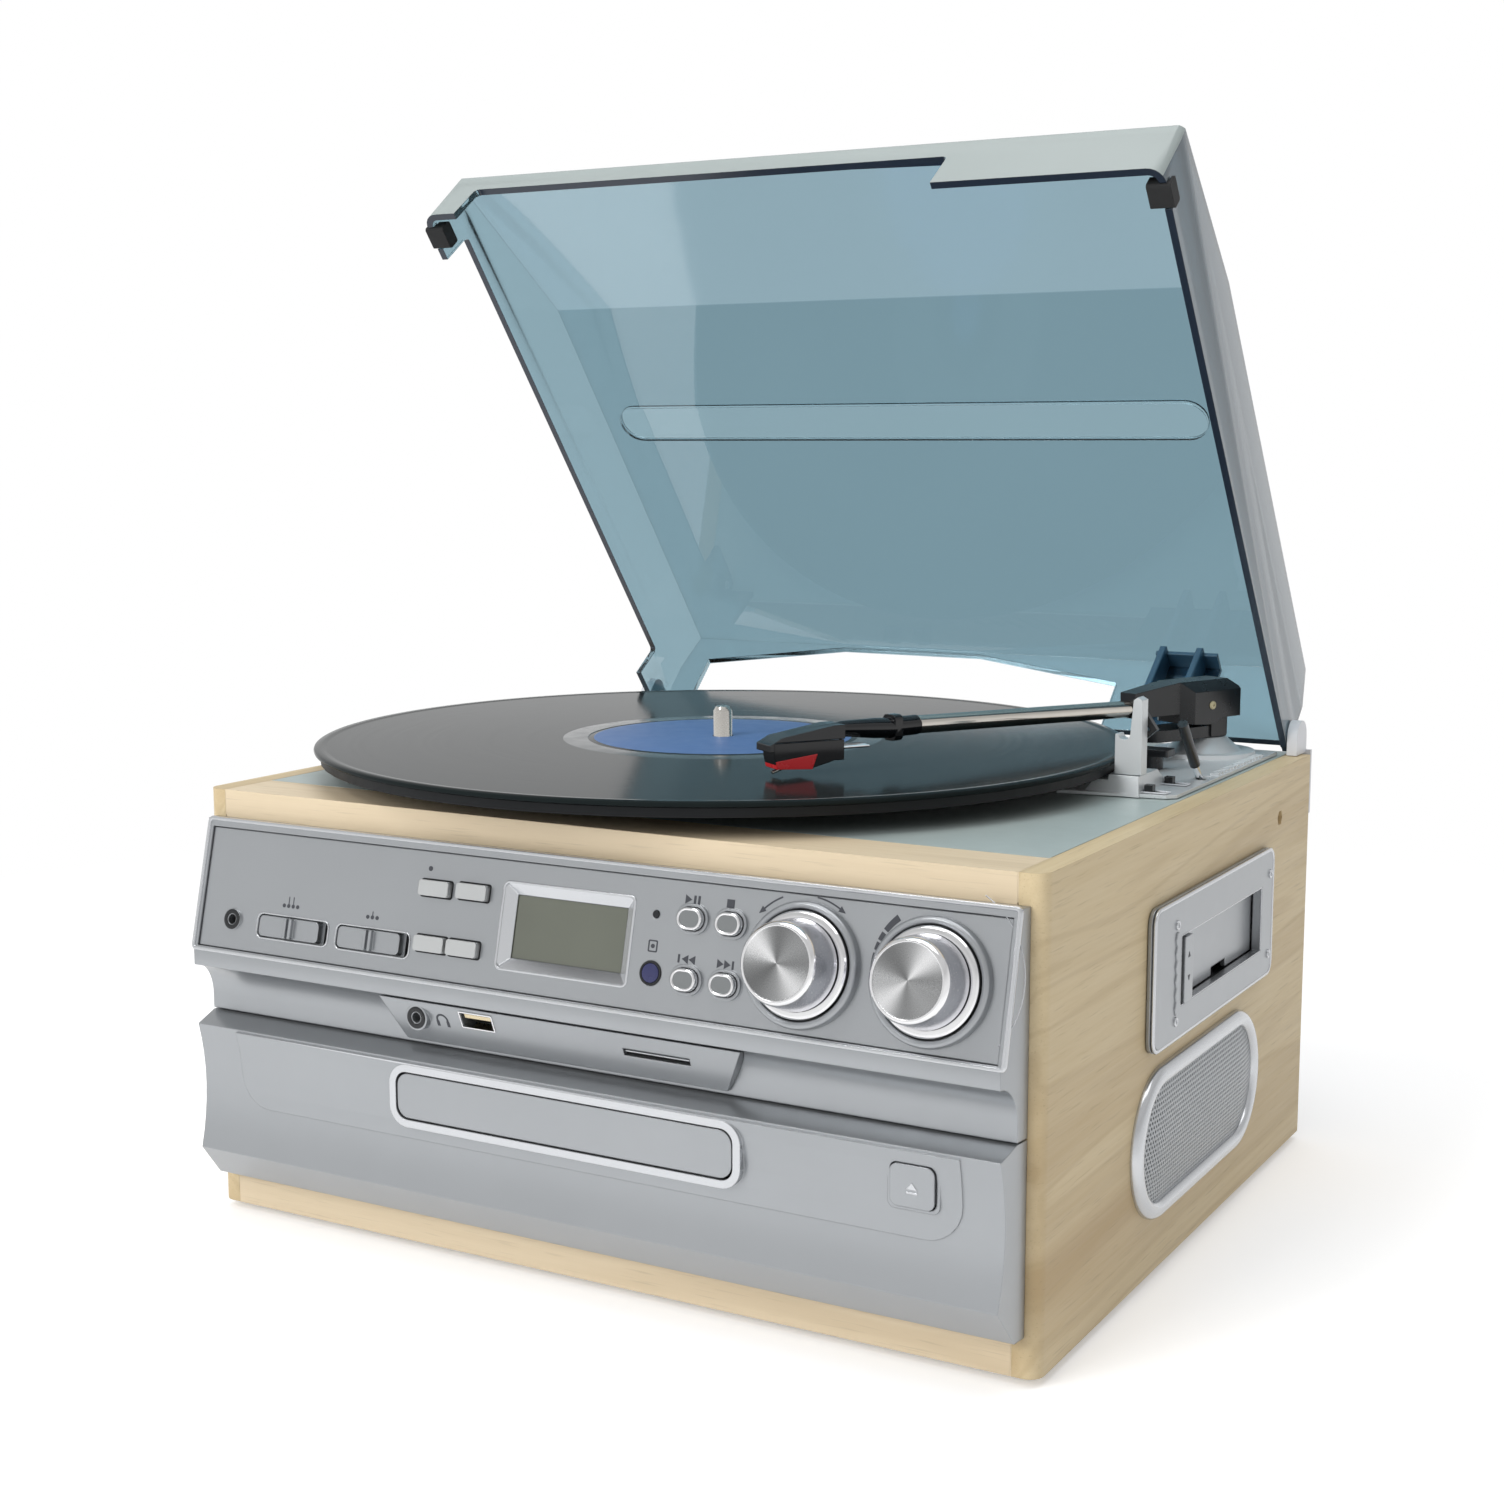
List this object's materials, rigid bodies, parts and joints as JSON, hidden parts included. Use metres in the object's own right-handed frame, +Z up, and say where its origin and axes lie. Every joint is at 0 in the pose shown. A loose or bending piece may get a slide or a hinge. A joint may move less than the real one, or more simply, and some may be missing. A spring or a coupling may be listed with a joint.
{
  "type": "record player",
  "caption": "Wooden tabletop record player with smoked hinged cover, tonearm, sloped radio controls, disc tray, side cassette slot and oval speakers.",
  "frame": {"origin": "centre in plan of the whole object's box with the cover open, at the undersides of the feet", "axes": "+Z up, front faces -Y, +X to the right as seen from the front"},
  "size_m": [0.338, 0.3292, 0.3771],
  "materials": {
    "wood": "satin",
    "fibre": "matt",
    "deck_plastic": "satin",
    "plate_plastic": "satin",
    "silver_plastic": "satin",
    "chromed": "polished",
    "steel": "polished",
    "brass": "satin",
    "black_plastic": "satin",
    "platter": "satin",
    "vinyl": "grooved gloss",
    "rubber": "matt",
    "red_plastic": "gloss",
    "smoked_acrylic": "clear gloss",
    "display": "gloss",
    "circuit_board": "satin"
  },
  "bodies": {
    "cabinet": {"side_left": "wood", "side_right": "wood", "top_rail": "wood", "base_board": "wood", "back_panel": "fibre", "deck": "deck_plastic", "arm_plate": "plate_plastic", "motor": "steel", "belt": "rubber", "arm_rest": "plate_plastic", "hinge_left": "plate_plastic", "hinge_right": "plate_plastic", "front_upper": "silver_plastic", "control_face": "silver_plastic", "lcd_window": "display", "port_plate": "silver_plastic", "port_sockets": "steel", "front_lower": "silver_plastic", "disc_loader": "black_plastic", "cassette_plate": "silver_plastic", "cassette_mechanism": "black_plastic", "speaker_left": "silver_plastic", "speaker_right": "silver_plastic", "driver_left": "black_plastic", "driver_right": "black_plastic", "main_board": "circuit_board", "transformer": "steel"},
    "turntable": {"platter": "platter", "spindle": "steel", "record": "vinyl"},
    "drive_pulley": {"pulley": "brass"},
    "arm_carrier": {"arm_yoke": "black_plastic"},
    "tonearm": {"arm_housing": "black_plastic", "arm_tube": "steel", "headshell": "black_plastic", "cartridge": "red_plastic"},
    "hood": {"cover": "smoked_acrylic", "bumper_left": "rubber", "bumper_right": "rubber"},
    "tray": {"disc_tray": "silver_plastic"},
    "rec_button": {"rec_button": "silver_plastic"},
    "mode_button": {"mode_button": "silver_plastic"},
    "del_button": {"del_button": "silver_plastic"},
    "prog_button": {"prog_button": "silver_plastic"},
    "play_button": {"play_button": "chromed"},
    "stop_button": {"stop_button": "chromed"},
    "previous_button": {"previous_button": "chromed"},
    "next_button": {"next_button": "chromed"},
    "eject_button": {"eject_button": "silver_plastic"},
    "cassette_key": {"cassette_key": "silver_plastic"},
    "function_slider": {"function_slider": "silver_plastic"},
    "band_slider": {"band_slider": "silver_plastic"},
    "tuning_knob": {"tuning_knob": "chromed"},
    "volume_knob": {"volume_knob": "chromed"},
    "cassette_flap": {"cassette_flap": "silver_plastic"},
    "lift_lever": {"lift_lever": "black_plastic"},
    "arm_lift": {"arm_lift": "black_plastic"},
    "speed_switch": {"speed_switch": "black_plastic"},
    "stop_switch": {"stop_switch": "black_plastic"},
    "rest_hook": {"rest_hook": "black_plastic"}
  },
  "joints": [
    {"name": "turntable_spin", "type": "hinge", "parent": "cabinet", "child": "turntable", "pos_m": [-0.0182, -0.00643, 0.163], "axis": [0, 0, -1], "continuous": true},
    {"name": "pulley_spin", "type": "hinge", "parent": "cabinet", "child": "drive_pulley", "pos_m": [-0.0682, 0.05357, 0.153], "axis": [0, 0, -1], "continuous": true},
    {"name": "arm_swing", "type": "hinge", "parent": "cabinet", "child": "arm_carrier", "pos_m": [0.1304, 0.10787, 0.168], "axis": [0, 0, 1], "range_deg": [-14, 22.2]},
    {"name": "arm_lift_tilt", "type": "hinge", "parent": "arm_carrier", "child": "tonearm", "pos_m": [0.1304, 0.10787, 0.175], "axis": [-0.9219, 0.3875, 0], "range_deg": [0, 1.4]},
    {"name": "cover_hinge", "type": "hinge", "parent": "cabinet", "child": "hood", "pos_m": [0.0111, 0.13167, 0.1619], "axis": [1, 0, 0], "range_deg": [0, 52]},
    {"name": "tray_slide", "type": "slide", "parent": "cabinet", "child": "tray", "axis": [0, -1, 0], "range_m": [0, 0.105]},
    {"name": "rec_button_press", "type": "slide", "parent": "cabinet", "child": "rec_button", "axis": [0, 0.9705, -0.2409], "range_m": [0, 0.0008], "stiffness_N_per_m": 300, "springref_m": -0.0005},
    {"name": "mode_button_press", "type": "slide", "parent": "cabinet", "child": "mode_button", "axis": [0, 0.9705, -0.2409], "range_m": [0, 0.0008], "stiffness_N_per_m": 300, "springref_m": -0.0005},
    {"name": "del_button_press", "type": "slide", "parent": "cabinet", "child": "del_button", "axis": [0, 0.9705, -0.2409], "range_m": [0, 0.0008], "stiffness_N_per_m": 300, "springref_m": -0.0005},
    {"name": "prog_button_press", "type": "slide", "parent": "cabinet", "child": "prog_button", "axis": [0, 0.9705, -0.2409], "range_m": [0, 0.0008], "stiffness_N_per_m": 300, "springref_m": -0.0005},
    {"name": "play_button_press", "type": "slide", "parent": "cabinet", "child": "play_button", "axis": [0, 0.9705, -0.2409], "range_m": [0, 0.0008], "stiffness_N_per_m": 300, "springref_m": -0.0005},
    {"name": "stop_button_press", "type": "slide", "parent": "cabinet", "child": "stop_button", "axis": [0, 0.9705, -0.2409], "range_m": [0, 0.0008], "stiffness_N_per_m": 300, "springref_m": -0.0005},
    {"name": "previous_button_press", "type": "slide", "parent": "cabinet", "child": "previous_button", "axis": [0, 0.9705, -0.2409], "range_m": [0, 0.0008], "stiffness_N_per_m": 300, "springref_m": -0.0005},
    {"name": "next_button_press", "type": "slide", "parent": "cabinet", "child": "next_button", "axis": [0, 0.9705, -0.2409], "range_m": [0, 0.0008], "stiffness_N_per_m": 300, "springref_m": -0.0005},
    {"name": "eject_button_press", "type": "slide", "parent": "cabinet", "child": "eject_button", "axis": [0, 1, 0], "range_m": [0, 0.001], "stiffness_N_per_m": 300, "springref_m": -0.0005},
    {"name": "cassette_key_press", "type": "slide", "parent": "cabinet", "child": "cassette_key", "axis": [-1, 0, 0], "range_m": [0, 0.004], "stiffness_N_per_m": 300, "springref_m": -0.0005},
    {"name": "function_slider_slide", "type": "slide", "parent": "cabinet", "child": "function_slider", "axis": [1, 0, 0], "range_m": [0, 0.004]},
    {"name": "band_slider_slide", "type": "slide", "parent": "cabinet", "child": "band_slider", "axis": [1, 0, 0], "range_m": [0, 0.004]},
    {"name": "tuning_turn", "type": "hinge", "parent": "cabinet", "child": "tuning_knob", "pos_m": [0.0915, -0.15443, 0.12402], "axis": [0, 0.9705, -0.2409], "range_deg": [-135, 135]},
    {"name": "volume_turn", "type": "hinge", "parent": "cabinet", "child": "volume_knob", "pos_m": [0.1339, -0.15441, 0.12411], "axis": [0, 0.9705, -0.2409], "range_deg": [0, 300]},
    {"name": "flap_hinge", "type": "hinge", "parent": "cabinet", "child": "cassette_flap", "pos_m": [0.163, 0.02787, 0.1154], "axis": [0, 1, 0], "range_deg": [0, 80], "stiffness_Nm_per_rad": 0.002, "springref_deg": -17.19},
    {"name": "lever_hinge", "type": "hinge", "parent": "cabinet", "child": "lift_lever", "pos_m": [0.1497, 0.04787, 0.1534], "axis": [-1, 0, 0], "range_deg": [0, 30]},
    {"name": "lift_rise", "type": "slide", "parent": "cabinet", "child": "arm_lift", "axis": [0, 0, 1], "range_m": [0, 0.003], "stiffness_N_per_m": 0.5, "springref_m": 0.0145},
    {"name": "speed_slide", "type": "slide", "parent": "cabinet", "child": "speed_switch", "axis": [1, 0, 0], "range_m": [0, 0.0032]},
    {"name": "stop_slide", "type": "slide", "parent": "cabinet", "child": "stop_switch", "axis": [1, 0, 0], "range_m": [0, 0.0032]},
    {"name": "hook_turn", "type": "hinge", "parent": "cabinet", "child": "rest_hook", "pos_m": [0.1394, 0.01087, 0.1842], "axis": [0, -1, 0], "range_deg": [0, 224]}
  ],
  "couplings": [
    {"joint": "pulley_spin", "follows": "turntable_spin", "ratio": 9.0909},
    {"joint": "lift_rise", "follows": "lever_hinge", "m_per_rad": 0.005}
  ]
}
